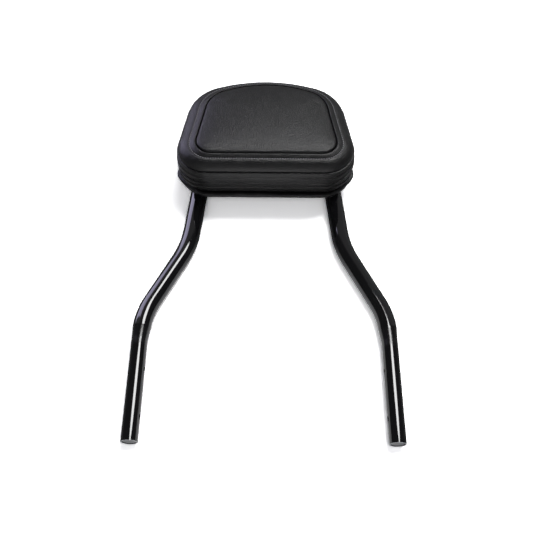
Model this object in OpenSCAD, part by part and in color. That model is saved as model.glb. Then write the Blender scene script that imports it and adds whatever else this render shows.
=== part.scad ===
// Sissy bar: a passenger backrest hoop with a padded cushion for a motorbike.
// The legs bolt to brackets on both sides of the rear mudguard.
// Origin: midway between the legs, level with the lower bolt holes.
// +Z runs up along the legs, the cushion faces -Y and +X is to the right of its face.

/* [Legs] */
// Distance between the centre lines of the legs
leg_spacing = 337; // [300:1:360]
// Outside diameter of the legs
leg_od = 22; // [20:0.2:24]
// Length of leg below the lower bolt hole
leg_tail = 32; // [24:1:50]
// Distance between the two bolt holes of a leg
hole_pitch = 63.5; // [50:0.5:75]
// Length of straight leg above the upper bolt hole
leg_rise = 37.5; // [30:0.5:60]

/* [Hoop tube] */
// Outside diameter of the hoop tube
hoop_od = 25.4; // [24.2:0.2:28]
// Wall of the tube, in the hoop and in the legs
tube_wall = 2; // [1.5:0.1:2.6]
// Length of the cone where the tube is drawn down to the legs
swage_len = 17; // [10:1:25]
// Angle that the leg bends through before the cone
swage_turn = 4; // [2:0.5:8]
// Angle at which the tube runs inward from the legs
flare_angle = 27; // [22:0.5:30]
// Radius of the bend above each leg, to the centre line
knee_radius = 104; // [80:1:120]
// Length of straight tube between the two bends
flare_len = 75; // [60:1:90]
// Radius of the bend below the cushion, to the centre line
shoulder_radius = 133; // [110:1:150]
// Angle at which the uprights lean towards each other
lean_angle = 6; // [2:0.5:8]
// Length of the straight uprights
upright_len = 165; // [150:1:175]
// Radius of the top corners, to the centre line
crown_radius = 40; // [34:1:50]

/* [Cross straps] */
// Height of the straps that carry the cushion
strap_h = 30; // [24:1:34]
// Thickness of the straps
strap_t = 4; // [3:0.5:5]
// How far a strap stops short of the centre line of the upright
strap_setback = 4; // [2:0.5:7]
// Height of the lower strap above the cushion's lower edge
strap_rise = 32; // [28:1:40]
// Distance between the cushion bolts across the bar
bolt_pitch_x = 116; // [90:1:130]
// Distance between the cushion bolts up the bar
bolt_pitch_z = 60; // [52:1:66]

/* [Cushion] */
// Height of the cushion's lower edge above the lower bolt holes
cushion_z = 329; // [322:1:334]
// Height of the cushion
cushion_h = 167; // [160:1:180]
// Width of the cushion at its lower corners
cushion_w = 248; // [236:1:270]
// Radius of the lower corners
low_corner = 38; // [30:1:44]
// Radius of the upper corners
high_corner = 50; // [44:1:56]
// Distance between the centres of the upper corners
high_span = 128; // [116:1:140]
// Radius of the crowned upper edge
crest_radius = 260; // [230:5:320]
// Depth of the rear cover's rim
rim_depth = 15.5; // [13:0.5:20]
// Depth of the side band
band_depth = 44.5; // [38:0.5:52]
// Bulge of the side band between its seams
band_bulge = 3; // [1:0.5:5]
// Height of the creases that run along the side band
crease_h = 0.7; // [0:0.1:1]
// Depth of the padded border between the side band and the face
border_depth = 18.5; // [14:0.5:22]
// Width of the padded border
border_w = 20; // [14:0.5:22]
// Extra width of the border on the left and right
border_side = 3; // [0:0.5:5]
// How much narrower the border is along the top
border_top = 3.5; // [0:0.5:4]
// Bulge of the padded border
border_bulge = 2.2; // [0.5:0.1:4]
// Crown of the face above its seam
face_crown = 5; // [2:0.5:8]
// Depth of the seam groove round the face
seam_depth = 2; // [1:0.1:3]
// Thickness of the covering
cover_t = 1.5; // [1:0.1:2]
// Diameter of the piping round the rear seam
piping_d = 3.4; // [2.6:0.1:4]
// How deep the piping lies in its groove
piping_sink = 2; // [0.5:0.5:3]
// Thickness of the board inside the cushion
board_t = 8; // [6:0.5:9]
// Rounding of the rear cover's edge
cover_edge = 3; // [2:0.5:4]

/* [Fasteners] */
// Nominal thread diameter of the cushion bolts
thread_d = 8; // [6:1:8]
// Length of the cushion bolts under the head
bolt_len = 20; // [18:0.5:22]
// Height of the bolt heads
head_h = 5.3; // [4:0.1:6]
// Width of the bolt heads across the flats
head_flats = 13; // [12:0.5:14]
// Diameter of the flat washers
washer_od = 18; // [16:1:22]
// Thickness of the flat washers
washer_t = 1.6; // [1:0.1:2]
// Thickness of the lock washers
lock_t = 2; // [1.5:0.1:2.4]
// Width of the split in the lock washers
lock_split = 1.2; // [0.8:0.1:1.6]
// Diameter of the tee nut flanges
tee_od = 19; // [16:1:22]
// Thickness of the tee nut flanges
tee_t = 1.5; // [1:0.1:2]
// Wall of the tee nut barrels
tee_wall = 1.1; // [0.8:0.1:1.6]
// Tapped bore of the leg bushes
bush_bore = 8.5; // [6.8:0.1:9]
// Mouth of the leg bushes
bush_mouth = 10.5; // [9.6:0.1:11]
// Outside diameter of the leg bushes
bush_od = 14; // [13:0.5:14.5]
// Length of the leg bushes
bush_len = 14; // [10:0.5:15]
// Length of the plugs in the leg ends
plug_len = 14; // [10:1:18]
// How far the plugs sit inside the leg ends
plug_recess = 0.8; // [0.4:0.1:2]
// Thickness of the plugs' end walls
plug_head = 3; // [2:0.1:4]
// Thickness of the plugs' side walls
plug_wall = 1.6; // [1.2:0.1:2]
// Height of the sealing ribs above the plugs' side walls
plug_rib = 0.7; // [0.4:0.1:1]

/* [Hidden] */
$fn = 64;

paint_black = "#131315";
vinyl_black = "#2d2d30";
foam_grey = "#8c8a80";
board_brown = "#a5814f";
zinc_grey = "#b4b6b8";
plug_grey = "#3a3a3c";

// Clearances: soft covers from their neighbours, turned parts in their holes,
// bolts in their holes, and cutters past the faces that they cut
soft_gap = 0.3;
bore_gap = 0.05;
bolt_gap = 0.5;
washer_gap = 0.25;
lock_gap = 0.15;
cut = 1;

// How far the tube's stretches run into each other, and how much its bends swell
joint_lap = 1;
bend_swell = 0.05;

// The centre line of the right side, as points [x, z] where one stretch meets the next
leg_x = leg_spacing / 2;
leg_foot = [leg_x, -leg_tail];
leg_top = [leg_x, hole_pitch + leg_rise];
cone_foot = bend_in(leg_top, 0, swage_turn, knee_radius);
cone_top = run(cone_foot, swage_turn, swage_len);
flare_foot = bend_in(cone_top, swage_turn, flare_angle, knee_radius);
flare_top = run(flare_foot, flare_angle, flare_len);
upright_foot = bend_out(flare_top, flare_angle, lean_angle, shoulder_radius);
upright_top = run(upright_foot, lean_angle, upright_len);
crossbar_end = bend_in(upright_top, lean_angle, 90, crown_radius);

// Planes from the back of the bar to the face of the cushion
strap_front = -hoop_od / 2;
strap_back = strap_front + strap_t;
cover_back = strap_front - soft_gap;
rim_front = cover_back - rim_depth;
band_back = rim_front - piping_d - 2 * soft_gap;
border_seam = band_back - band_depth;
face_seam = border_seam - border_depth;
hem_back = face_seam + seam_depth + cover_t / 2;
board_back = cover_back - cover_t - soft_gap;
board_front = board_back - board_t;

// Rows of cushion bolts
low_row = cushion_z + strap_rise;
high_row = low_row + bolt_pitch_z;
bolt_x = bolt_pitch_x / 2;

// The cushion's outline: centres of its corners and of its crest
cushion_top = cushion_z + cushion_h;
crest_z = cushion_top - crest_radius;
low_centre = [cushion_w / 2 - low_corner, cushion_z + low_corner];
high_reach = crest_radius - high_corner;
crest_steps = 6;
corner_steps = 8;
band_steps = 12;
border_steps = 6;
face_steps = 4;

// Functions for a path that starts upward and turns inward by a growing heading
function along(heading) = [-sin(heading), cos(heading)];
function outward(heading) = [cos(heading), sin(heading)];
function run(p, heading, len) = p + len * along(heading);
function bend_in(p, from, to, r) = p - r * outward(from) + r * outward(to);
function bend_out(p, from, to, r) = p + r * outward(from) - r * outward(to);

// Centre line of the upright at height z
function upright_x(z) = upright_foot.x - (z - upright_foot.y) * tan(lean_angle);

// Functions for the cushion's outline, moved inward by inset, narrowed at both sides and raised at the top
function arc(c, r, from, to, steps) =
  [for (i = [0 : steps]) c + r * [cos(from + (to - from) * i / steps), sin(from + (to - from) * i / steps)]];
function high_centre(narrow, raise) =
  let (x = high_span / 2 - narrow)
  [x, crest_z + raise + sqrt(high_reach * high_reach - x * x)];
function side_angle(low, high) =
  let (d = low - high)
  atan2(d.y, d.x) + acos((high_corner - low_corner) / norm(d));
function half_outline(inset, narrow, raise) =
  let (
    low = low_centre - [narrow, 0],
    high = high_centre(narrow, raise),
    side = side_angle(low, high),
    crest = atan2(high.y - crest_z - raise, high.x),
    top = arc([0, crest_z + raise], crest_radius - inset, 90, crest, crest_steps),
    upper = arc(high, high_corner - inset, crest, side, corner_steps),
    lower = arc(low, low_corner - inset, side, -90, corner_steps),
    middle = (upper[corner_steps] + lower[0]) / 2,
    floor = [for (k = [2, 1, 0]) [low.x * k / 3, cushion_z + inset]]
  )
  concat([for (i = [0 : crest_steps - 1]) top[i]], upper, [middle], lower, floor);
function mirrored(half) = [for (i = [len(half) - 2 : -1 : 1]) [-half[i].x, half[i].y]];
function outline(inset, narrow, raise) =
  let (half = half_outline(inset, narrow, raise))
  concat(half, mirrored(half));

// A ring of the cushion's skin: the outline at depth y, drawn toward its middle by shrink
cushion_mid = cushion_z + cushion_h / 2;
function border_share(inset) = max(0, min(1, inset / border_w));
function ring(inset, y, shrink = 1) =
  let (share = border_share(inset))
  [for (p = outline(inset, border_side * share, border_top * share))
    [p.x * shrink, y, cushion_mid + (p.y - cushion_mid) * shrink]];

// Profiles of the covering as [inset, y] points, from the back of the cushion to its face
crease_count = 3;
function crease(t) = (1 - cos(360 * crease_count * t)) / 2 * sin(180 * t);
function band_profile(depth, crease_h) =
  [for (i = [0 : band_steps])
    let (t = i / band_steps)
    [depth - band_bulge * sin(180 * t) - crease_h * crease(t), band_back - band_depth * t]];
border_normal = -[border_depth, border_w] / norm([border_depth, border_w]);
function border_profile(depth) =
  [for (i = [0 : border_steps])
    let (t = i / border_steps)
    [border_w * t, border_seam - soft_gap - (border_depth - soft_gap) * t]
      + (border_bulge * sin(180 * t) - depth) * border_normal];

// Solid between rings, closed by flat caps, or joined end to end when looped
module skin(rings, looped = false) {
  n = len(rings[0]);
  m = len(rings);
  steps = looped ? m : m - 1;
  walls = [
    for (i = [0 : steps - 1]) for (j = [0 : n - 1])
      let (k = (j + 1) % n, next = (i + 1) % m)
      each [
        [i * n + j, i * n + k, next * n + k],
        [i * n + j, next * n + k, next * n + j]
      ]
  ];
  caps = looped ? [] : [
    [for (j = [n - 1 : -1 : 0]) j],
    [for (j = [0 : n - 1]) (m - 1) * n + j]
  ];
  polyhedron(points = [for (r = rings) each r], faces = concat(walls, caps));
}

// A straight or conical stretch of bar from p along a heading, let a little into its neighbours
module bar_run(p, heading, len, r1, r2) {
  foot = p - joint_lap * along(heading);
  translate([foot.x, 0, foot.y])
    rotate([0, -heading, 0])
      cylinder(h = len + 2 * joint_lap, r1 = r1, r2 = r2);
}

// A bend of the bar round a centre, from one angle to a larger one, swelled a little by bending
module bar_bend(c, from, to, radius, r) {
  translate([c.x, 0, c.y])
    rotate([90, 0, 0])
      rotate([0, 0, from])
        rotate_extrude(angle = to - from)
          translate([radius, 0])
            circle(r = r + bend_swell);
}

// The right side of the bar as a round solid, inset by the wall for its bore
module bar_side(inset) {
  r_leg = leg_od / 2 - inset;
  r_hoop = hoop_od / 2 - inset;
  bar_run(leg_foot, 0, leg_top.y - leg_foot.y, r_leg, r_leg);
  bar_bend(leg_top - knee_radius * outward(0), 0, swage_turn, knee_radius, r_leg);
  bar_run(cone_foot, swage_turn, swage_len, r_leg, r_hoop);
  bar_bend(cone_top - knee_radius * outward(swage_turn), swage_turn, flare_angle, knee_radius, r_hoop);
  bar_run(flare_foot, flare_angle, flare_len, r_hoop, r_hoop);
  bar_bend(flare_top + shoulder_radius * outward(flare_angle), 180 + lean_angle, 180 + flare_angle,
    shoulder_radius, r_hoop);
  bar_run(upright_foot, lean_angle, upright_len, r_hoop, r_hoop);
  bar_bend(upright_top - crown_radius * outward(lean_angle), lean_angle, 90, crown_radius, r_hoop);
}

// The whole bar as a round solid
module bar(inset) {
  bar_side(inset);
  mirror([1, 0, 0]) bar_side(inset);
  bar_run(crossbar_end, 90, 2 * crossbar_end.x, hoop_od / 2 - inset, hoop_od / 2 - inset);
}

// One bent tube with its legs drawn down, drilled on the inner side for four bushes
module hoop_tube() {
  color(paint_black)
    difference() {
      bar(0);
      bar(tube_wall);
      translate([-leg_spacing, -leg_od, -leg_tail - 2 * joint_lap])
        cube([2 * leg_spacing, 2 * leg_od, 2 * joint_lap]);
      for (side = [-1, 1]) for (z = [0, hole_pitch])
        translate([side * leg_x, 0, z])
          rotate([0, -90 * side, 0])
            cylinder(h = leg_od, r = bush_od / 2 + bore_gap);
    }
}

// Flat strap coped to both uprights, its front level with the front of the tube
module cross_strap(row) {
  low = row - strap_h / 2;
  high = row + strap_h / 2;
  low_x = upright_x(low) - strap_setback;
  high_x = upright_x(high) - strap_setback;
  color(paint_black)
    difference() {
      translate([0, strap_back, 0])
        rotate([90, 0, 0])
          linear_extrude(height = strap_t)
            polygon([[-low_x, low], [low_x, low], [high_x, high], [-high_x, high]]);
      for (side = [0, 1])
        mirror([side, 0, 0])
          bar_run(upright_foot, lean_angle, upright_len, hoop_od / 2 + bore_gap, hoop_od / 2 + bore_gap);
      for (x = [-bolt_x, bolt_x])
        rod(x, row, strap_back + cut, strap_t + 2 * cut, thread_d / 2 + bolt_gap);
    }
}

// A round rod that starts at depth y and runs toward the face
module rod(x, z, y, len, r) {
  translate([x, y, z])
    rotate([90, 0, 0])
      cylinder(h = len, r = r);
}

// Threaded bush in the inner wall of a leg, flush with it, its mouth facing the other leg
module leg_bush(side, z) {
  r = bush_od / 2;
  bore = bush_bore / 2;
  mouth = bush_mouth / 2;
  color(zinc_grey)
    intersection() {
      translate([side * (leg_x - leg_od / 2), 0, z])
        rotate([0, 90 * side, 0])
          rotate_extrude()
            polygon([[mouth, 0], [r, 0], [r, bush_len], [bore, bush_len], [bore, mouth - bore]]);
      translate([side * leg_x, 0, z - bush_od])
        cylinder(h = 2 * bush_od, r = leg_od / 2);
    }
}

// Hollow push-in plug with two sealing ribs
module end_plug(side) {
  rib_r = leg_od / 2 - tube_wall - bore_gap;
  wall_r = rib_r - plug_rib;
  rib_foot = plug_len / 2;
  rib_top = rib_foot + plug_wall;
  color(plug_grey)
    translate([side * leg_x, 0, plug_recess - leg_tail])
      rotate_extrude()
        polygon([
          [0, 0], [wall_r, 0], [rib_r, plug_rib], [rib_r, plug_head],
          [wall_r, plug_head], [wall_r, rib_foot], [rib_r, rib_foot], [rib_r, rib_top],
          [wall_r, rib_top], [wall_r, plug_len], [wall_r - plug_wall, plug_len],
          [wall_r - plug_wall, plug_head], [0, plug_head]
        ]);
}

// The outline of a round-cornered board as exact circles and straight edges
module board_outline(inset) {
  high = high_centre(0, 0);
  half = half_outline(inset, 0, 0);
  for (side = [-1, 1]) {
    translate([side * low_centre.x, low_centre.y]) circle(r = low_corner - inset);
    translate([side * high.x, high.y]) circle(r = high_corner - inset);
  }
  intersection() {
    translate([0, crest_z]) circle(r = crest_radius - inset);
    polygon([[-high.x, high.y], [high.x, high.y],
      [high.x * 2, crest_z + 2 * (high.y - crest_z)], [-high.x * 2, crest_z + 2 * (high.y - crest_z)]]);
  }
  edge_low = half[crest_steps + corner_steps + 2];
  edge_high = half[crest_steps + corner_steps];
  polygon([
    [-low_centre.x, cushion_z + inset], [low_centre.x, cushion_z + inset],
    low_centre, edge_low, edge_high, high,
    [-high.x, high.y], [-edge_high.x, edge_high.y], [-edge_low.x, edge_low.y], [-low_centre.x, low_centre.y]
  ]);
}

// Plywood board that the covering is fixed to, bored for the tee nuts
module cushion_board() {
  color(board_brown)
    difference() {
      translate([0, board_back, 0])
        rotate([90, 0, 0])
          linear_extrude(height = board_t)
            board_outline(cover_t + 2 * soft_gap);
      for (x = [-bolt_x, bolt_x]) for (z = [low_row, high_row])
        rod(x, z, board_back + cut, board_t + 2 * cut, thread_d / 2 + tee_wall + 2 * bore_gap);
    }
}

// Foam block between the board and the covering, hollowed over the tee nuts
module cushion_foam() {
  skin_gap = cover_t + soft_gap;
  back = board_front - soft_gap;
  piping_clear = piping_sink + piping_d + soft_gap;
  body = [for (p = band_profile(skin_gap, 0)) if (p.y < band_back - 2 * soft_gap) ring(p.x, p.y)];
  shoulder = [
    for (p = border_profile(skin_gap))
      if (p.x > skin_gap + soft_gap && p.y > hem_back)
        ring(p.x, p.y + soft_gap)
  ];
  valley = [ring(border_w + seam_depth + soft_gap, hem_back + soft_gap)];
  crown = [for (i = [face_steps - 1 : -1 : 1])
    let (s = i / face_steps)
    ring(border_w + skin_gap, face_y(s) + skin_gap + soft_gap, s)];
  color(foam_grey)
    difference() {
      skin(concat([ring(piping_clear, back), ring(piping_clear, band_back)], body, shoulder, valley, crown));
      for (x = [-bolt_x, bolt_x]) for (z = [low_row, high_row]) {
        rod(x, z, back + cut, tee_t + cut, tee_od / 2 + soft_gap);
        rod(x, z, back + cut, bolt_len, thread_d / 2 + bolt_gap);
      }
    }
}

// Depth of the crowned face at a share s of the way from its middle to its edge
function face_y(s) = face_seam - face_crown * (1 - s * s);

// Face panel of the covering, crowned, with its edge turned down into the seam
module face_panel() {
  edge = border_w + soft_gap;
  front = [for (i = [face_steps : -1 : 1])
    let (s = i / face_steps)
    ring(border_w + seam_depth, face_y(s), s)];
  back = [for (i = [1 : face_steps])
    let (s = i / face_steps)
    ring(border_w + seam_depth, face_y(s) + cover_t, s)];
  hem = [
    ring(edge + cover_t, hem_back),
    ring(edge, face_seam + seam_depth),
    ring(edge + seam_depth / 4, face_seam + seam_depth / 3)
  ];
  color(vinyl_black) skin(concat(back, hem, front));
}

// Padded border between the side band and the face
module border_panel() {
  outer = border_profile(0);
  inner = border_profile(cover_t);
  rings = concat(
    [for (p = outer) ring(p.x, p.y)],
    [ring(border_w, face_seam + seam_depth)],
    [for (i = [border_steps : -1 : 1]) if (inner[i].x < border_w - cover_t) ring(inner[i].x, inner[i].y)],
    [ring(cover_t, border_seam - soft_gap)]
  );
  color(vinyl_black) skin(rings, looped = true);
}

// Side band, bulged between its seams and creased along its length
module side_band() {
  outer = band_profile(0, crease_h);
  inner = band_profile(cover_t, 0);
  rings = concat(
    [for (p = outer) ring(p.x, p.y)],
    [for (i = [band_steps : -2 : 0]) ring(inner[i].x, inner[i].y)]
  );
  color(vinyl_black) skin(rings, looped = true);
}

// Piping cord in the groove between the side band and the rear cover
module rear_piping() {
  mid = (rim_front + band_back) / 2;
  r = piping_d / 2;
  rings = [for (a = [0 : 45 : 315]) ring(piping_sink + r - r * sin(a), mid + r * cos(a))];
  color(paint_black) skin(rings, looped = true);
}

// Rear cover: a shallow tray over the back of the board, pierced for the bolts
module rear_cover() {
  rings = [
    for (a = [90 : -45 : 0]) ring(cover_edge * (1 - cos(a)), cover_back - cover_edge * (1 - sin(a))),
    ring(0, rim_front),
    ring(cover_t, rim_front), ring(cover_t, cover_back - cover_t)
  ];
  color(vinyl_black)
    difference() {
      skin(rings);
      for (x = [-bolt_x, bolt_x]) for (z = [low_row, high_row])
        rod(x, z, cover_back + cut, cover_t + 2 * cut, thread_d / 2 + bolt_gap);
    }
}

// Tee nut seated in the front of the board
module tee_nut(x, z) {
  color(zinc_grey)
    difference() {
      union() {
        rod(x, z, board_front, tee_t, tee_od / 2);
        rod(x, z, board_back - bolt_gap, board_t - bolt_gap, thread_d / 2 + tee_wall);
      }
      rod(x, z, board_back + cut, board_t + tee_t + 2 * cut, thread_d / 2 + bore_gap);
    }
}

// Hexagon bolt through the strap, its head at the back
module cushion_bolt(x, z) {
  seat = strap_back + washer_t + lock_t;
  color(zinc_grey) {
    rod(x, z, seat, bolt_len, thread_d / 2 - bore_gap);
    translate([x, seat + head_h, z])
      rotate([90, 0, 0])
        cylinder(h = head_h, r = head_flats / 2 / cos(30), $fn = 6);
  }
}

// Flat washer against the back of the strap
module flat_washer(x, z) {
  color(zinc_grey)
    difference() {
      rod(x, z, strap_back + washer_t, washer_t, washer_od / 2);
      rod(x, z, strap_back + washer_t + cut, washer_t + 2 * cut, thread_d / 2 + washer_gap);
    }
}

// Split lock washer under the bolt head
module lock_washer(x, z) {
  back = strap_back + washer_t + lock_t;
  r = head_flats / 2;
  color(zinc_grey)
    difference() {
      rod(x, z, back, lock_t, r);
      rod(x, z, back + cut, lock_t + 2 * cut, thread_d / 2 + lock_gap);
      translate([x - lock_split / 2, back - lock_t - cut, z])
        cube([lock_split, lock_t + 2 * cut, r + cut]);
    }
}

hoop_tube();
cross_strap(high_row);  // upper_cross_strap
cross_strap(low_row);  // lower_cross_strap
leg_bush(-1, hole_pitch);  // left_upper_bush
leg_bush(-1, 0);  // left_lower_bush
leg_bush(1, hole_pitch);  // right_upper_bush
leg_bush(1, 0);  // right_lower_bush
end_plug(-1);  // left_end_plug
end_plug(1);  // right_end_plug
cushion_board();
cushion_foam();
face_panel();
border_panel();
side_band();
rear_piping();
rear_cover();
tee_nut(-bolt_x, high_row);  // upper_left_tee_nut
tee_nut(bolt_x, high_row);  // upper_right_tee_nut
tee_nut(-bolt_x, low_row);  // lower_left_tee_nut
tee_nut(bolt_x, low_row);  // lower_right_tee_nut
cushion_bolt(-bolt_x, high_row);  // upper_left_bolt
cushion_bolt(bolt_x, high_row);  // upper_right_bolt
cushion_bolt(-bolt_x, low_row);  // lower_left_bolt
cushion_bolt(bolt_x, low_row);  // lower_right_bolt
flat_washer(-bolt_x, high_row);  // upper_left_washer
flat_washer(bolt_x, high_row);  // upper_right_washer
flat_washer(-bolt_x, low_row);  // lower_left_washer
flat_washer(bolt_x, low_row);  // lower_right_washer
lock_washer(-bolt_x, high_row);  // upper_left_lock_washer
lock_washer(bolt_x, high_row);  // upper_right_lock_washer
lock_washer(-bolt_x, low_row);  // lower_left_lock_washer
lock_washer(bolt_x, low_row);  // lower_right_lock_washer
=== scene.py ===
import bpy, bmesh, math
from mathutils import Vector, Matrix, noise


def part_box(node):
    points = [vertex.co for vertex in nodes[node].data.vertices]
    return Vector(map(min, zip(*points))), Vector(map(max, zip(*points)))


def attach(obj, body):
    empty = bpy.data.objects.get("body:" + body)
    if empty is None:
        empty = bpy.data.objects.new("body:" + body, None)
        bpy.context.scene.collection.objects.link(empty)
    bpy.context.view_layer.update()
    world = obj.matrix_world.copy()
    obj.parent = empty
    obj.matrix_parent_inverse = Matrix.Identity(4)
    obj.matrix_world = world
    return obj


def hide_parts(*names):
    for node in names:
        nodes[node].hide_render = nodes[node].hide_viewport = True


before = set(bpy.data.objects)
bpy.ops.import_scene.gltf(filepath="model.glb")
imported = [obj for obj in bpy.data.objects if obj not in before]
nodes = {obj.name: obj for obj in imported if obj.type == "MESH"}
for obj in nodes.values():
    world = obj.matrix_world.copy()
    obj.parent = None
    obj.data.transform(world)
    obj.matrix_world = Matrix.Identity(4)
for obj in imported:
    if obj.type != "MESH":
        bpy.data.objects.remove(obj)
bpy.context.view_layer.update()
scene = bpy.context.scene
scene.view_settings.view_transform = "Standard"


# ---------------------------------------------------------------- camera
# The bar lies on its back with its cushion up, and the camera stands at the
# foot of its legs and looks down along it: in the part's frame that is from
# the front and below.
camera = bpy.data.objects.new("camera", bpy.data.cameras.new("camera"))
scene.collection.objects.link(camera)
camera.data.sensor_width = 36.0
camera.data.lens = 47.4
camera.data.clip_start = 0.05
camera.data.clip_end = 30.0
stand = Vector((0.0041, -0.8764, -0.2638))
look = Vector((-0.0025, 0.8764, 0.4851)).normalized()
across = look.cross(Vector((0, 0, 1))).normalized()
upward = across.cross(look)
roll = math.radians(0.577)
tilted_across = across * math.cos(roll) + upward * math.sin(roll)
tilted_up = upward * math.cos(roll) - across * math.sin(roll)
camera.matrix_world = Matrix.Translation(stand) @ Matrix((tilted_across, tilted_up, -look)).transposed().to_4x4()
scene.camera = camera


# ---------------------------------------------------------------- floor and lights
# A white paper floor just behind the tubes, seen from its front only. The camera
# sees it clean white outside the shadows; in the gloss tubes it is a painted
# reflection, brighter than it is lit between the legs and painted dark beside and above them.
def linear(code):
    """An sRGB hex colour as linear red, green, blue and alpha."""
    parts = [int(code[i:i + 2], 16) / 255 for i in (1, 3, 5)]
    return [p / 12.92 if p <= 0.04045 else ((p + 0.055) / 1.055) ** 2.4 for p in parts] + [1.0]


def add(tree, kind, links=None, **settings):
    """A node of a kind with its settings; links are {socket: a value or another node's output}."""
    made = tree.nodes.new(kind)
    for name, value in settings.items():
        setattr(made, name, value)
    for socket, value in (links or {}).items():
        if isinstance(value, bpy.types.NodeSocket):
            tree.links.new(value, made.inputs[socket])
        else:
            made.inputs[socket].default_value = value
    return made


def blank_material(name):
    """A material and its node tree, still empty."""
    material = bpy.data.materials.new(name)
    material.use_nodes = True
    material.node_tree.nodes.clear()
    return material, material.node_tree


FLOOR_Y = 0.0132
bpy.ops.object.select_all(action="DESELECT")
bpy.ops.mesh.primitive_plane_add(size=6, location=(0, FLOOR_Y, 0.2), rotation=(math.pi / 2, 0, 0))
floor = bpy.context.object
floor.name = "studio_floor"
floor.visible_shadow = False
paper, tree = blank_material("white_paper_floor")
# How bright the paper is to the object, to the camera and in the gloss (a painted dark
# reflection), the painted reflection added between the legs, and where that fades out beside and above them
PAPER, PAPER_SEEN, PAINTED_DARK_REFLECTION, PAINTED_REFLECTION_BETWEEN_LEGS = 0.9, 2.2, 0.2, 1.3
LEG_X = (0.15, 0.18)
SHOULDER_Z = (0.2, 0.27)
place = add(tree, "ShaderNodeSeparateXYZ", {0: add(tree, "ShaderNodeNewGeometry").outputs["Position"]})
sideways = add(tree, "ShaderNodeMath", {0: place.outputs["X"]}, operation="ABSOLUTE")
inside = add(tree, "ShaderNodeMapRange", {"Value": sideways.outputs[0], "From Min": LEG_X[0], "From Max": LEG_X[1],
    "To Min": PAINTED_REFLECTION_BETWEEN_LEGS, "To Max": 0.0})
low_down = add(tree, "ShaderNodeMapRange", {"Value": place.outputs["Z"],
    "From Min": SHOULDER_Z[0], "From Max": SHOULDER_Z[1], "To Min": 1.0, "To Max": 0.0})
# The paper's tone in the gloss alone: a painted reflection, bright low down between the legs and dark elsewhere
painted_reflection_tone = add(tree, "ShaderNodeMath", {0: inside.outputs[0], 1: low_down.outputs[0], 2: PAINTED_DARK_REFLECTION - PAPER},
    operation="MULTIPLY_ADD")
path = add(tree, "ShaderNodeLightPath")
seen = add(tree, "ShaderNodeMath", {0: path.outputs["Is Camera Ray"], 1: PAPER_SEEN - PAPER, 2: PAPER},
    operation="MULTIPLY_ADD")
tone = add(tree, "ShaderNodeMath", {0: path.outputs["Is Glossy Ray"], 1: painted_reflection_tone.outputs[0], 2: seen.outputs[0]},
    operation="MULTIPLY_ADD")
matt = add(tree, "ShaderNodeBsdfDiffuse", {"Color": tone.outputs[0]})
clear = add(tree, "ShaderNodeBsdfTransparent")
side = add(tree, "ShaderNodeNewGeometry")
shown = add(tree, "ShaderNodeMixShader", {0: side.outputs["Backfacing"], 1: matt.outputs[0], 2: clear.outputs[0]})
add(tree, "ShaderNodeOutputMaterial", {"Surface": shown.outputs[0]})
floor.data.materials.append(paper)

# The room lights the bar evenly and is white to the camera. In the gloss it is
# dark up to about 25 degrees, paler above that, and glows far below.
world = bpy.data.worlds.new("white_room")
scene.world = world
world.use_nodes = True
tree = world.node_tree
tree.nodes.clear()
path = add(tree, "ShaderNodeLightPath")
room = add(tree, "ShaderNodeBackground", {"Color": linear("#e9e9ee"), "Strength": 0.26})
backdrop = add(tree, "ShaderNodeBackground", {"Color": (1, 1, 1, 1), "Strength": 1.0})
way = add(tree, "ShaderNodeTexCoord").outputs["Generated"]
height = add(tree, "ShaderNodeSeparateXYZ", {0: way}).outputs["Z"]
wall = add(tree, "ShaderNodeMapRange", {"Value": height,
    "From Min": 0.38, "From Max": 0.46, "To Min": 0.08, "To Max": 0.4})
below = add(tree, "ShaderNodeMapRange", {"Value": height,
    "From Min": -0.8, "From Max": -0.55, "To Min": 0.35, "To Max": 0.0})
around = add(tree, "ShaderNodeMath", {0: wall.outputs[0], 1: below.outputs[0]}, operation="ADD")
ceiling = add(tree, "ShaderNodeBackground", {"Color": linear("#f2f2f4"), "Strength": around.outputs[0]})
mirrored = add(tree, "ShaderNodeMixShader", {
    0: path.outputs["Is Glossy Ray"], 1: room.outputs[0], 2: ceiling.outputs[0]})
seen = add(tree, "ShaderNodeMixShader", {
    0: path.outputs["Is Camera Ray"], 1: mirrored.outputs[0], 2: backdrop.outputs[0]})
add(tree, "ShaderNodeOutputWorld", {"Surface": seen.outputs[0]})


# A round softbox before the cushion, a cool one on the left for the gloss alone, a
# fill at the legs' feet that no gloss shows, and one behind for the back
LAMP_DISTANCE = 3.0
LAMP_AIM = Vector((0, 0, 0.2))


def softbox(name, turn, rise, width, height, power, tint, shape="RECTANGLE", mirrored=True, spilt=True):
    """A softbox turn degrees right of the cushion's front and rise degrees toward its top, sizes in degrees too."""
    a, e = math.radians(turn), math.radians(rise)
    way = Vector((math.sin(a) * math.cos(e), -math.cos(a) * math.cos(e), math.sin(e)))
    lamp = bpy.data.lights.new(name, "AREA")
    lamp.shape = shape
    lamp.size = 2 * LAMP_DISTANCE * math.tan(math.radians(width / 2))
    lamp.size_y = 2 * LAMP_DISTANCE * math.tan(math.radians(height / 2))
    lamp.energy = power
    lamp.color = linear(tint)[:3]
    made = bpy.data.objects.new(name, lamp)
    scene.collection.objects.link(made)
    made.matrix_world = Matrix.Translation(LAMP_AIM + way * LAMP_DISTANCE) @ way.to_track_quat(
        "Z", "Y").to_matrix().to_4x4()
    made.visible_camera = False
    made.visible_glossy = mirrored
    made.visible_diffuse = spilt


softbox("round_softbox", 15, 16.5, 30, 13, 52, "#ffffff", shape="ELLIPSE")
softbox("cool_softbox", -64, 37, 46, 18, 52, "#c9c4e4", spilt=False)
softbox("foot_fill", 0, -38, 50, 30, 26, "#ffffff", mirrored=False)
softbox("rear_softbox", 200, 20, 60, 40, 60, "#ffffff")


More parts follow.
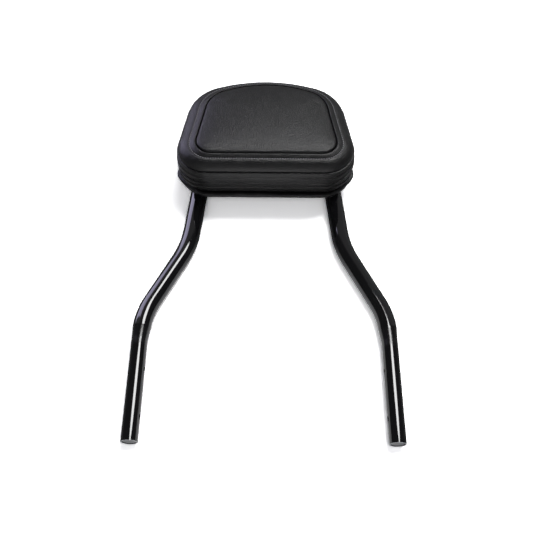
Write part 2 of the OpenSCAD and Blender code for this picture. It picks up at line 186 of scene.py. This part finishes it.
# ---------------------------------------------------------------- hoop tube
# One mild steel tube, 25.4 mm with 2 mm walls, bent cold and drawn down to
# 22 mm for the legs, then degreased and sprayed with gloss black enamel.
SWAGE_Z, CONE_REACH, CONE_FADE = 0.111, 0.0105, 0.014
SAWN_Z = -0.0318


# Gloss enamel: hard, black and mirror-like, with a faint orange peel. The cone
# that the dies drew down is duller, and the sawn leg ends are painted light grey and rougher: a painted highlight on
# their rims.
def enamel(name, peel_mm):
    material, tree = blank_material(name)
    place = add(tree, "ShaderNodeTexCoord").outputs["Object"]
    peel = add(tree, "ShaderNodeTexNoise", {"Vector": place, "Scale": 1000 / peel_mm, "Detail": 1.0, "Roughness": 0.4})
    cloud = add(tree, "ShaderNodeTexNoise", {"Vector": place, "Scale": 1000 / 60, "Detail": 3.0})
    tone = add(tree, "ShaderNodeValToRGB", {"Fac": cloud.outputs["Fac"]})
    tone.color_ramp.elements[0].color = linear("#0a0a0b")
    tone.color_ramp.elements[1].color = linear("#111113")
    haze = add(tree, "ShaderNodeMapRange", {"Value": cloud.outputs["Fac"], "From Min": 0.3, "From Max": 0.7,
        "To Min": 0.04, "To Max": 0.07})
    height = add(tree, "ShaderNodeSeparateXYZ", {0: place}).outputs["Z"]
    from_cone = add(tree, "ShaderNodeMath", {0: height, 1: SWAGE_Z}, operation="SUBTRACT")
    off_cone = add(tree, "ShaderNodeMath", {0: from_cone.outputs[0]}, operation="ABSOLUTE")
    die_marks = add(tree, "ShaderNodeMapRange", {"Value": off_cone.outputs[0], "From Min": CONE_REACH,
        "From Max": CONE_FADE, "To Min": 0.12, "To Max": 0.0}, interpolation_type="SMOOTHSTEP")
    # Below the sawn ends the colour turns light grey: a painted highlight on the cut rims
    painted_end_highlight = add(tree, "ShaderNodeMath", {0: height, 1: SAWN_Z}, operation="LESS_THAN")
    end_and_cone_roughness = add(tree, "ShaderNodeMath", {0: painted_end_highlight.outputs[0], 1: 0.4, 2: die_marks.outputs[0]}, operation="MULTIPLY_ADD")
    dull = add(tree, "ShaderNodeMath", {0: haze.outputs[0], 1: end_and_cone_roughness.outputs[0]}, operation="ADD")
    shade = add(tree, "ShaderNodeMix", {"Factor": painted_end_highlight.outputs[0], 6: tone.outputs["Color"], 7: linear("#a5a7aa")},
        data_type="RGBA")
    bump = add(tree, "ShaderNodeBump", {"Height": peel.outputs["Fac"], "Strength": 0.05, "Distance": 0.00005})
    skin = add(tree, "ShaderNodeBsdfPrincipled", {
        "Base Color": shade.outputs[2], "Roughness": dull.outputs[0], "IOR": 1.5, "Normal": bump.outputs["Normal"]})
    add(tree, "ShaderNodeOutputMaterial", {"Surface": skin.outputs[0]})
    return material


def dress(names, material):
    """Gives nodes of the CAD model one material."""
    for name in names:
        nodes[name].data.materials.clear()
        nodes[name].data.materials.append(material)


gloss_enamel = enamel("gloss_black_enamel", 3.0)
dress(["hoop_tube", "upper_cross_strap", "lower_cross_strap"], gloss_enamel)


# ---------------------------------------------------------------- weld beads
# Each strap end is coped to its upright and MIG welded in the corner behind it,
# before the bar is painted, so the rippled beads carry the same enamel.
STRAP_ROWS = {"upper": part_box("upper_cross_strap"), "lower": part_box("lower_cross_strap")}
LEAN = math.radians(6)
BEAD_RADIUS, RIPPLE, RIPPLE_PITCH = 0.0026, 0.16, 0.0048
SHORT_BY, IN_FROM_END, OFF_STRAP = 0.004, 0.0085, 0.0004
for row, (low, high) in STRAP_ROWS.items():
    for side_name, sign in (("left", -1), ("right", 1)):
        bpy.ops.object.select_all(action="DESELECT")
        length = high[2] - low[2] - SHORT_BY
        middle = (high[2] + low[2]) / 2
        bpy.ops.mesh.primitive_cylinder_add(vertices=16, radius=BEAD_RADIUS, depth=length, location=(0, 0, 0))
        bead = bpy.context.object
        bead.name = f"{row}_{side_name}_weld_bead"
        bpy.ops.object.mode_set(mode="EDIT")
        bpy.ops.mesh.select_all(action="DESELECT")
        grid = bmesh.from_edit_mesh(bead.data)
        for edge in grid.edges:
            edge.select = abs(edge.verts[0].co.z - edge.verts[1].co.z) > length / 2
        bmesh.update_edit_mesh(bead.data)
        bpy.ops.mesh.subdivide(number_cuts=44)
        grid = bmesh.from_edit_mesh(bead.data)
        for v in grid.verts:
            wave = RIPPLE * abs(math.sin(v.co.z / RIPPLE_PITCH * math.pi))
            ends = min(1.0, math.sqrt(max(0.0, 1 - (abs(v.co.z) / (length / 2)) ** 6)) + 0.25)
            v.co.x *= (0.9 + wave) * ends
            v.co.y *= (0.9 + wave) * ends
        bmesh.update_edit_mesh(bead.data)
        bpy.ops.object.mode_set(mode="OBJECT")
        bead.data.transform(Matrix.Rotation(-sign * LEAN, 4, "Y"))
        bead.data.transform(Matrix.Translation((sign * (high[0] - IN_FROM_END), high[1] + OFF_STRAP, middle)))
        bpy.ops.object.shade_smooth()
        bead.data.materials.append(gloss_enamel)
        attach(bead, "root")


# ---------------------------------------------------------------- leg bushes
# Turned steel bushes, let into the inner wall of each leg flush with it, tapped
# M10 and enamelled with the tube.
dress([n for n in nodes if n.endswith("bush")], gloss_enamel)


# ---------------------------------------------------------------- cushion fixings
# Hexagon bolts with flat and lock washers behind the straps, and tee nuts in the
# board: zinc plated steel, dull silver with a fine turned grain.
def zinc(name, grain_mm):
    material, tree = blank_material(name)
    place = add(tree, "ShaderNodeTexCoord").outputs["Object"]
    grain = add(tree, "ShaderNodeTexNoise", {"Vector": place, "Scale": 1000 / grain_mm, "Detail": 4.0})
    bloom = add(tree, "ShaderNodeTexNoise", {"Vector": place, "Scale": 1000 / 8, "Detail": 3.0})
    tone = add(tree, "ShaderNodeValToRGB", {"Fac": bloom.outputs["Fac"]})
    tone.color_ramp.elements[0].color = linear("#8f9194")
    tone.color_ramp.elements[1].color = linear("#b9bbbd")
    dull = add(tree, "ShaderNodeMapRange", {"Value": grain.outputs["Fac"], "To Min": 0.28, "To Max": 0.5})
    bump = add(tree, "ShaderNodeBump", {"Height": grain.outputs["Fac"], "Strength": 0.2, "Distance": 0.00003})
    metal = add(tree, "ShaderNodeBsdfPrincipled", {"Base Color": tone.outputs["Color"], "Metallic": 1.0,
        "Roughness": dull.outputs[0], "Normal": bump.outputs["Normal"]})
    add(tree, "ShaderNodeOutputMaterial", {"Surface": metal.outputs[0]})
    return material


bright_zinc = zinc("bright_zinc_plate", 0.5)
dress([n for n in nodes if n.endswith(("bolt", "washer", "tee_nut"))], bright_zinc)


# ---------------------------------------------------------------- end plugs
# Pushed into the open leg ends: moulded low-density polyethylene, mid grey,
# with a matt skin that catches a soft light.
moulded_plug, tree = blank_material("moulded_polyethylene")
place = add(tree, "ShaderNodeTexCoord").outputs["Object"]
stipple = add(tree, "ShaderNodeTexNoise", {"Vector": place, "Scale": 1000 / 0.6, "Detail": 2.0})
tone = add(tree, "ShaderNodeValToRGB", {"Fac": stipple.outputs["Fac"]})
tone.color_ramp.elements[0].color = linear("#77787a")
tone.color_ramp.elements[1].color = linear("#8a8b8d")
bump = add(tree, "ShaderNodeBump", {"Height": stipple.outputs["Fac"], "Strength": 0.25, "Distance": 0.00005})
skin = add(tree, "ShaderNodeBsdfPrincipled", {"Base Color": tone.outputs["Color"], "Roughness": 0.55, "IOR": 1.51,
    "Normal": bump.outputs["Normal"]})
add(tree, "ShaderNodeOutputMaterial", {"Surface": skin.outputs[0]})
dress(["left_end_plug", "right_end_plug"], moulded_plug)


# ---------------------------------------------------------------- board and foam
# Inside the cushion: birch plywood, cut to the cushion's outline, and a block
# of open-cell foam glued on it. The covering hides both.
birch, tree = blank_material("birch_plywood")
place = add(tree, "ShaderNodeTexCoord").outputs["Object"]
stretch = add(tree, "ShaderNodeMapping", {"Vector": place, "Scale": (20, 400, 400)})
grain = add(tree, "ShaderNodeTexNoise", {"Vector": stretch.outputs[0], "Scale": 1.0, "Detail": 5.0})
tone = add(tree, "ShaderNodeValToRGB", {"Fac": grain.outputs["Fac"]})
tone.color_ramp.elements[0].color = linear("#9a7446")
tone.color_ramp.elements[1].color = linear("#c7a574")
wood = add(tree, "ShaderNodeBsdfPrincipled", {"Base Color": tone.outputs["Color"], "Roughness": 0.62})
add(tree, "ShaderNodeOutputMaterial", {"Surface": wood.outputs[0]})
dress(["cushion_board"], birch)


# ---------------------------------------------------------------- cushion covering
# Expanded black vinyl sewn over the foam: a crowned face panel, a padded border
# with a topstitched flange, a side band gathered at its lower corners and a rear
# cover with a wavy lip. Its outline and rows are in millimetres.
LOW_Z, WIDTH, LOW_CORNER = 329.0, 253.0, 42.0
# The border is wider at the sides, from SIDE_FROM on, and narrower at the top, and
# the covering is pulled a little awry
BORDER_W, BORDER_SIDE, BORDER_TOP = 20.5, 6.3, 3.5
SIDE_FROM = 64.0
AWRY = -1.0
PER_SIDE = 56


def right_half(height, high_corner, high_span, crest, steps=400):
    """Points and outward directions down the right half of an outline, crest to foot, and its corners' middles."""
    crest_z = LOW_Z + height - crest
    low_c = Vector((WIDTH / 2 - LOW_CORNER, LOW_Z + LOW_CORNER))
    high_c = Vector((high_span / 2, crest_z + math.sqrt((crest - high_corner) ** 2 - (high_span / 2) ** 2)))
    gap = low_c - high_c
    side_turn = math.atan2(gap.y, gap.x) + math.acos((high_corner - LOW_CORNER) / gap.length)
    crest_turn = math.atan2(high_c.y - crest_z, high_c.x)
    run = []
    arcs = [((0, crest_z), crest, math.pi / 2, crest_turn), (high_c, high_corner, crest_turn, side_turn),
        (low_c, LOW_CORNER, side_turn, -math.pi / 2)]
    for centre, radius, start, end in arcs:
        for i in range(steps):
            turn = start + (end - start) * i / (steps - 1)
            out = Vector((math.cos(turn), math.sin(turn)))
            run.append((Vector(centre) + out * radius, out))
    run.append((Vector((0, LOW_Z)), Vector((0, -1))))
    return run, ((crest_turn + side_turn) / 2, (side_turn - math.pi / 2) / 2)


def spread(run, shares):
    """Points of a run at given shares of its length."""
    far = [0.0]
    for (a, _), (b, _) in zip(run, run[1:]):
        far.append(far[-1] + (b - a).length)
    out, k = [], 0
    for share in shares:
        want = share * far[-1]
        while k < len(run) - 2 and far[k + 1] < want:
            k += 1
        t = (want - far[k]) / max(1e-9, far[k + 1] - far[k])
        out.append((run[k][0].lerp(run[k + 1][0], t), run[k][1].lerp(run[k + 1][1], t).normalized()))
    return out


def whole_loop(height, high_corner, high_span, crest):
    """An outline as 4 * PER_SIDE points and directions, clockwise from the crest, a quarter between corner middles."""
    half, turns = right_half(height, high_corner, high_span, crest)
    corners, far = [], 0.0
    for (a, _), (b, out) in zip(half, half[1:]):
        far += (b - a).length
        if len(corners) < 2 and math.atan2(out.y, out.x) <= turns[len(corners)]:
            corners.append(far)
    high, low = corners
    quarter = PER_SIDE // 2
    shares = [high / far * i / quarter for i in range(quarter)]
    shares += [(high + (low - high) * i / PER_SIDE) / far for i in range(PER_SIDE)]
    shares += [(low + (far - low) * i / quarter) / far for i in range(quarter + 1)]
    right_run = spread(half, shares)
    return right_run + [(Vector((-p.x, p.y)), Vector((-n.x, n.y))) for p, n in right_run[-2:0:-1]]


# The front's top is lower and rounder than the rear's, which has to cover the board
loop = whole_loop(164.0, 58.0, 116.0, 235.0)
rear_loop = whole_loop(167.5, 50.0, 128.0, 260.0)
AROUND = len(loop)
MID_Z = LOW_Z + 82.0
FRONT_FROM, REAR_FROM = -68.0, -38.0


def on_ring(k, inset, y):
    """The point k of the outline drawn in by inset, at depth y, in metres."""
    rear = max(0.0, min(1.0, (y - FRONT_FROM) / (REAR_FROM - FRONT_FROM)))
    p, n = (front.lerp(back, rear) for front, back in zip(loop[k % AROUND], rear_loop[k % AROUND]))
    share = max(0.0, min(1.0, inset / BORDER_W))
    x = p.x - inset * n.x - math.copysign(BORDER_SIDE * share, p.x) * min(1.0, abs(p.x) / SIDE_FROM)
    z = p.y - inset * n.y + BORDER_TOP * share * max(0.0, min(1.0, (p.y - MID_Z) / (MID_Z - LOW_Z)))
    return Vector((x + AWRY * (1 - share), y, z)) / 1000


def hump(t, at, wide):
    """1 at one place, falling off to both sides of it."""
    return math.exp(-((t - at) / wide) ** 2)


def lower_corner(n):
    """1 in the middle of a lower corner, 0 on the straight sides and at the top."""
    return max(0.0, -2 * n.y * abs(n.x))


TUBE_X = 86


def flare(p, n):
    """How far the rear cover's lip stands out: most where the sides end and at the foot, puckered by the tubes."""
    pucker = hump(abs(p.x), TUBE_X, 16) * math.sin(p.x * 0.75) * max(0.0, -n.y)
    wave = 1.8 * noise.noise(Vector((p.x, p.y, 0)) / 17) + 0.8 * pucker
    side_ends, corners, foot = hump(n.y, -0.2, 0.25), hump(n.y, -0.75, 0.25), hump(n.y, -1, 0.1)
    return 1.4 + 2.8 * side_ends - 2.0 * corners + 2.2 * foot + wave


CREASES = (0.25, 0.5, 0.76)
CREASE_EASE = 0.07


def folds(p, n, t):
    """How deep the side band lies under its bulge at a share t of its depth: each crease steps in, then eases out."""
    pull = 0.15 + 0.75 * max(0.0, -n.y) ** 4 + 1.7 * lower_corner(n) ** 0.8
    deep = 0.0
    for i, at in enumerate(CREASES):
        fade = 0.8 + 0.9 * noise.noise(Vector((p.x / 26, p.y / 26, 7.7 + i)))
        past = t - at
        deep += pull * fade * (math.exp(-past / CREASE_EASE) if past > 0.001 else -0.3 * hump(past, 0, 0.05))
    return deep


def drift(p, t):
    """How far the band's rows wander along its depth, in shares of it, so that the creases are wavy."""
    return 0.06 * math.sin(math.pi * t) * noise.noise(Vector((p.x / 34, p.y / 34, 4 * t)))


# Each row: (inset, depth, pinned, share of the lip's flare, share of the band), from
# the flat of the back to the edge of the face
BACK, RIM, BAND_BACK, SEAM, FACE = -13.0, -28.5, -32.5, -77.0, -95.5
FACE_INSET, FACE_RISE, CROWN_RISE, CROWN_REACH = 32.0, 3.5, 1.4, 45.0
profile = [
    (9, BACK, 1, 0, 0), (5.5, BACK - 0.1, 1, 0, 0), (3.0, BACK - 0.5, 1, 0, 0), (1.2, BACK - 1.6, 1, 0, 0),
    (0.2, BACK - 3.5, 0.6, 0.15, 0), (-0.1, BACK - 6, 0.4, 0.35, 0), (-0.2, BACK - 8.5, 0.4, 0.6, 0),
    (-0.9, BACK - 9.8, 0.6, 0.8, 0), (-1.5, RIM + 4.0, 1, 0.9, 0), (-1.3, RIM + 2.3, 1, 1, 0),
    (-0.6, RIM + 0.9, 1, 1, 0), (0.4, RIM + 0.1, 1, 1, 0)]
groove_rows = (len(profile), len(profile) + 7)
profile += [
    (1.4, RIM - 0.3, 1, 0.6, 0), (3.8, RIM - 0.4, 1, 0.2, 0), (5.8, RIM - 1.0, 1, 0, 0), (6.2, RIM - 2.0, 1, 0, 0),
    (5.8, BAND_BACK + 1.0, 1, 0, 0), (3.8, BAND_BACK + 0.5, 1, 0, 0), (1.6, BAND_BACK + 0.2, 1, 0, 0),
    (0.4, BAND_BACK - 0.4, 1, 0, 0.01)]
band_steps = [0.04, 0.09, 0.14, 0.18, 0.22]
for at in CREASES:
    band_steps += [at, at + 0.012, at + 0.03, at + 0.06, at + 0.1, at + 0.15, at + 0.2, at + 0.23]
for t in band_steps:
    t = min(t, 0.985)
    profile.append((-2.7 * math.sin(math.pi * t) ** 0.75, BAND_BACK - 0.6 - (BAND_BACK - SEAM - 1.6) * t, 0.3, 0, t))
profile += [
    (-1.3, SEAM + 0.9, 1, 0, 0), (-0.9, SEAM + 0.5, 1, 0, 0), (0.9, SEAM + 0.1, 1, 0, 0),
    (1.9, SEAM - 0.1, 1, 0, 0), (1.9, SEAM - 0.5, 1, 0, 0), (0.7, SEAM - 0.9, 1, 0, 0), (0.3, SEAM - 1.8, 0.9, 0, 0)]
roll_rows = 10
for i in range(1, roll_rows):
    t = i / roll_rows
    swell = 2.9 * math.sin(math.pi * t) ** 0.8
    profile.append((0.3 + 12.4 * t - 0.79 * swell, SEAM - 1.8 + (FACE - SEAM + 4.6) * t - 0.6 * swell, 0.3, 0, 0))
profile += [
    (12.8, FACE + 3.0, 0.9, 0, 0), (13.2, FACE + 3.2, 1, 0, 0), (13.7, FACE + 2.7, 0.9, 0, 0),
    (15.0, FACE + 1.8, 0.8, 0, 0), (17.0, FACE + 0.6, 0.8, 0, 0), (18.9, FACE - 0.4, 0.9, 0, 0),
    (19.8, FACE - 0.3, 1, 0, 0)]
furrow_rows = (len(profile) - 1, len(profile) + 2)
profile += [
    (20.2, FACE + 0.9, 1, 0, 0), (20.7, FACE + 1.6, 1, 0, 0), (21.2, FACE + 0.7, 1, 0, 0),
    (21.8, FACE - 0.9, 0.9, 0, 0), (22.9, FACE - 1.7, 0.4, 0, 0), (25.0, FACE - 2.4, 0.1, 0, 0),
    (28.0, FACE - 3.0, 0.1, 0, 0), (FACE_INSET, FACE - FACE_RISE, 0.1, 0, 0)]

verts, pins, rings = [], [], []
for inset, y, pin, lip, band in profile:
    rings.append([len(verts) + k for k in range(AROUND)])
    for k in range(AROUND):
        p, n = loop[k]
        out = lip * flare(p, n) - (folds(p, n, band) if band else 0)
        along = (SEAM - BAND_BACK) * drift(p, band) + 0.9 * lip * noise.noise(Vector((p.x, p.y, 40)) / 22)
        verts.append(on_ring(k, inset - out, y + along))
        pins.append(pin)
# A flag for each face: whether it lies down in a seam, where the near-black knit is painted shade
faces, painted_seam_shade = [], []
for row, (a, b) in enumerate(zip(rings, rings[1:])):
    for k in range(AROUND):
        n = (k + 1) % AROUND
        faces.append((a[k], a[n], b[n], b[k]))
        painted_seam_shade.append(any(start <= row < end for start, end in (groove_rows, furrow_rows)))


def panel(ring, depth, pin, flip):
    """Fills a ring with a square-cut patch: four sides of PER_SIDE steps, blended between."""
    m = PER_SIDE
    start = AROUND - m // 2
    edge = [ring[(start + i) % AROUND] for i in range(AROUND)]
    top = [verts[i] for i in edge[0:m + 1]]
    right = [verts[i] for i in edge[m:2 * m + 1]]
    bottom = [verts[i] for i in edge[2 * m:3 * m + 1]][::-1]
    left = [verts[i] for i in edge[3 * m:] + edge[:1]][::-1]
    at = {}
    for i in range(m + 1):
        at[(i, 0)] = edge[i]
        at[(m, i)] = edge[m + i]
        at[(m - i, m)] = edge[2 * m + i]
        at[(0, m - i)] = edge[(3 * m + i) % AROUND]
    for i in range(1, m):
        for j in range(1, m):
            u, v = i / m, j / m
            p = (top[i] * (1 - v) + bottom[i] * v + left[j] * (1 - u) + right[j] * u
                - (top[0] * (1 - u) * (1 - v) + top[m] * u * (1 - v) + bottom[0] * (1 - u) * v + bottom[m] * u * v))
            at[(i, j)] = len(verts)
            verts.append(Vector((p.x, depth(p), p.z)))
            pins.append(pin)
    for i in range(m):
        for j in range(m):
            quad = (at[(i, j)], at[(i + 1, j)], at[(i + 1, j + 1)], at[(i, j + 1)])
            faces.append(quad[::-1] if flip else quad)


inner = [on_ring(k, FACE_INSET, 0) for k in range(0, AROUND, 2)]


def crown(p):
    """The face's depth at p: it rises from its seam to a nearly flat middle."""
    d = min(Vector((p.x - q.x, p.z - q.z)).length for q in inner) * 1000
    return (FACE - FACE_RISE - CROWN_RISE * (1 - (1 - min(1.0, d / CROWN_REACH)) ** 2)) / 1000


panel(rings[-1], crown, 0.0, True)
panel(rings[0], lambda p: BACK / 1000, 1.0, False)

mesh = bpy.data.meshes.new("cushion_cover")
mesh.from_pydata([tuple(v) for v in verts], [], faces)
mesh.update()
cushion = bpy.data.objects.new("cushion_cover", mesh)
scene.collection.objects.link(cushion)
bpy.ops.object.select_all(action="DESELECT")
cushion.select_set(True)
bpy.context.view_layer.objects.active = cushion
bpy.ops.object.mode_set(mode="EDIT")
bpy.ops.mesh.select_all(action="SELECT")
bpy.ops.mesh.normals_make_consistent(inside=False)
bpy.ops.object.mode_set(mode="OBJECT")
LEAST_PIN = 0.02
group = cushion.vertex_groups.new(name="sewn")
for i, pin in enumerate(pins):
    group.add([i], max(pin, LEAST_PIN), "REPLACE")

# The foam presses the vinyl out between its seams: cloth under pressure, its
# movement evened out over neighbouring points and held to SWELL_REACH
SWELL_REACH, SWELL_FRAMES, EVENING_ROUNDS = 0.0045, 20, 6
at_rest = [v.co.copy() for v in mesh.vertices]
swell = cushion.modifiers.new("swell", "CLOTH")
swell.settings.quality = 6
swell.settings.mass = 0.3
swell.settings.use_pressure = True
swell.settings.uniform_pressure_force = 3.0
swell.settings.vertex_group_mass = "sewn"
swell.settings.pin_stiffness = 1.0
swell.settings.tension_stiffness = 20
swell.settings.compression_stiffness = 20
swell.settings.bending_stiffness = 4.0
swell.settings.shrink_min = 0.0
swell.settings.effector_weights.gravity = 0.0
swell.collision_settings.use_collision = False
swell.point_cache.frame_start = 1
swell.point_cache.frame_end = SWELL_FRAMES
for f in range(1, SWELL_FRAMES + 1):
    scene.frame_set(f)
blown = cushion.evaluated_get(bpy.context.evaluated_depsgraph_get())
moved = [v.co.copy() for v in blown.data.vertices]
cushion.modifiers.remove(swell)
scene.frame_set(1)
steps = [(new - old) * (1 - pin) for old, new, pin in zip(at_rest, moved, pins)]
beside = [[] for _ in steps]
for edge in mesh.edges:
    a, b = edge.vertices
    beside[a].append(b)
    beside[b].append(a)
for _ in range(EVENING_ROUNDS):
    steps = [(step + sum((steps[j] for j in near), Vector()) / len(near)) / 2
        for step, near in zip(steps, beside)]
for v, old, step, pin in zip(mesh.vertices, at_rest, steps, pins):
    v.co = old + step.normalized() * min(step.length, SWELL_REACH) * (1 - pin)

# Faces down in the seams and the rear groove take the knit: painted shade in the furrows
for face, dark in zip(mesh.polygons, painted_seam_shade):
    face.material_index = int(dark)
finer = cushion.modifiers.new("finer", "SUBSURF")
finer.levels = finer.render_levels = 1
bpy.ops.object.modifier_apply(modifier="finer")
bpy.ops.object.shade_smooth()

# Expanded vinyl: PVC on a knit backing, embossed with a fine pebble grain of
# about 0.8 mm, drawn here at 1.4 mm so that it shows; a soft satin shine.
vinyl, tree = blank_material("expanded_black_vinyl")
place = add(tree, "ShaderNodeTexCoord").outputs["Object"]
pebble = add(tree, "ShaderNodeTexVoronoi", {"Vector": place, "Scale": 1000 / 1.4}, feature="SMOOTH_F1")
fine = add(tree, "ShaderNodeTexNoise", {"Vector": place, "Scale": 1000 / 0.9, "Detail": 3.0})
soft = add(tree, "ShaderNodeTexNoise", {"Vector": place, "Scale": 1000 / 22, "Detail": 4.0, "Roughness": 0.55})
grain = add(tree, "ShaderNodeMath", {0: pebble.outputs["Distance"], 1: 0.8, 2: fine.outputs["Fac"]},
    operation="MULTIPLY_ADD")
emboss = add(tree, "ShaderNodeBump", {"Height": grain.outputs[0], "Strength": 0.8, "Distance": 0.0005})
drape = add(tree, "ShaderNodeBump", {"Height": soft.outputs["Fac"], "Strength": 0.3, "Distance": 0.0015,
    "Normal": emboss.outputs["Normal"]})
tone = add(tree, "ShaderNodeValToRGB", {"Fac": soft.outputs["Fac"]})
tone.color_ramp.elements[0].position = 0.3
tone.color_ramp.elements[0].color = linear("#0e0e0f")
tone.color_ramp.elements[1].position = 0.7
tone.color_ramp.elements[1].color = linear("#131314")
satin = add(tree, "ShaderNodeMapRange", {"Value": soft.outputs["Fac"], "From Min": 0.3, "From Max": 0.7,
    "To Min": 0.28, "To Max": 0.35})
skin = add(tree, "ShaderNodeBsdfPrincipled", {
    "Base Color": tone.outputs["Color"], "Roughness": satin.outputs[0], "IOR": 1.5, "Normal": drape.outputs["Normal"]})
add(tree, "ShaderNodeOutputMaterial", {"Surface": skin.outputs[0]})

# The knit backing that shows down in the seams: matt black polyester, darker and
# duller than the vinyl, painted shade so that the furrows read as thin black lines.
seam_shade_knit, tree = blank_material("black_knit_painted_seam_shade")
place = add(tree, "ShaderNodeTexCoord").outputs["Object"]
ribs = add(tree, "ShaderNodeTexNoise", {"Vector": place, "Scale": 1000 / 0.8, "Detail": 2.0})
tone = add(tree, "ShaderNodeValToRGB", {"Fac": ribs.outputs["Fac"]})
tone.color_ramp.elements[0].color = linear("#030303")
tone.color_ramp.elements[1].color = linear("#080808")
skin = add(tree, "ShaderNodeBsdfPrincipled", {"Base Color": tone.outputs["Color"], "Roughness": 0.95, "IOR": 1.5,
    "Specular IOR Level": 0.1})
add(tree, "ShaderNodeOutputMaterial", {"Surface": skin.outputs[0]})

cushion.data.materials.append(vinyl)
cushion.data.materials.append(seam_shade_knit)
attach(cushion, "root")
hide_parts("cushion_foam", "face_panel", "border_panel", "side_band", "rear_cover")

# The nodes it replaces get its vinyl, and so does the piping in its rear groove
dress(["cushion_foam", "face_panel", "border_panel", "side_band", "rear_cover", "rear_piping"], vinyl)


# ---------------------------------------------------------------- topstitching
# One row of polyester thread through the border's flange, a stitch every
# 3.6 mm; each stitch sinks into the vinyl at both ends.
STITCH_INSET, STITCH_DEPTH, STITCH_PITCH = 13.2, FACE + 3.1, 3.6
STITCH_SIZE, STITCH_RISE = (0.00062, 0.0005, 0.0011, 1), 0.0003

# The thread: twisted polyester with a weak silky shine, coloured light grey as a painted highlight on the stitches
painted_glint_thread, tree = blank_material("polyester_thread_painted_glint")
place = add(tree, "ShaderNodeTexCoord").outputs["Object"]
twist = add(tree, "ShaderNodeTexNoise", {"Vector": place, "Scale": 1000 / 0.7, "Detail": 2.0})
tone = add(tree, "ShaderNodeValToRGB", {"Fac": twist.outputs["Fac"]})
tone.color_ramp.elements[0].color = linear("#747478")
tone.color_ramp.elements[1].color = linear("#9c9ca0")
skin = add(tree, "ShaderNodeBsdfPrincipled", {"Base Color": tone.outputs["Color"], "Roughness": 0.5, "IOR": 1.5})
add(tree, "ShaderNodeOutputMaterial", {"Surface": skin.outputs[0]})

seam_line = [on_ring(k, STITCH_INSET, STITCH_DEPTH) for k in range(AROUND + 1)]
lengths = [0.0]
for a, b in zip(seam_line, seam_line[1:]):
    lengths.append(lengths[-1] + (b - a).length)
stitch_count = round(lengths[-1] * 1000 / STITCH_PITCH)
stitches, k = [], 0
for i in range(stitch_count):
    want = lengths[-1] * i / stitch_count
    while lengths[k + 1] < want:
        k += 1
    along = (seam_line[k + 1] - seam_line[k]).normalized()
    spot = seam_line[k].lerp(seam_line[k + 1], (want - lengths[k]) / (lengths[k + 1] - lengths[k]))
    _, spot, out, _ = cushion.closest_point_on_mesh(spot)
    bpy.ops.object.select_all(action="DESELECT")
    if not stitches:
        bpy.ops.mesh.primitive_uv_sphere_add(segments=6, ring_count=5, radius=1, location=(0, 0, 0))
        bpy.ops.object.shade_smooth()
        stitches.append(bpy.context.object)
        plain = stitches[0].data.copy()
    else:
        stitches.append(bpy.data.objects.new("stitch", plain.copy()))
        scene.collection.objects.link(stitches[-1])
    across_seam = out.cross(along).normalized()
    turned = Matrix((across_seam, out, across_seam.cross(out))).transposed().to_4x4()
    stitches[-1].data.transform(Matrix.Translation(spot + out * STITCH_RISE) @ turned @ Matrix.Diagonal(STITCH_SIZE))
bpy.ops.object.select_all(action="DESELECT")
for stitch in stitches:
    stitch.select_set(True)
bpy.context.view_layer.objects.active = stitches[0]
bpy.ops.object.join()
topstitch = bpy.context.object
topstitch.name = "border_topstitch"
topstitch.data.materials.append(painted_glint_thread)
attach(topstitch, "root")
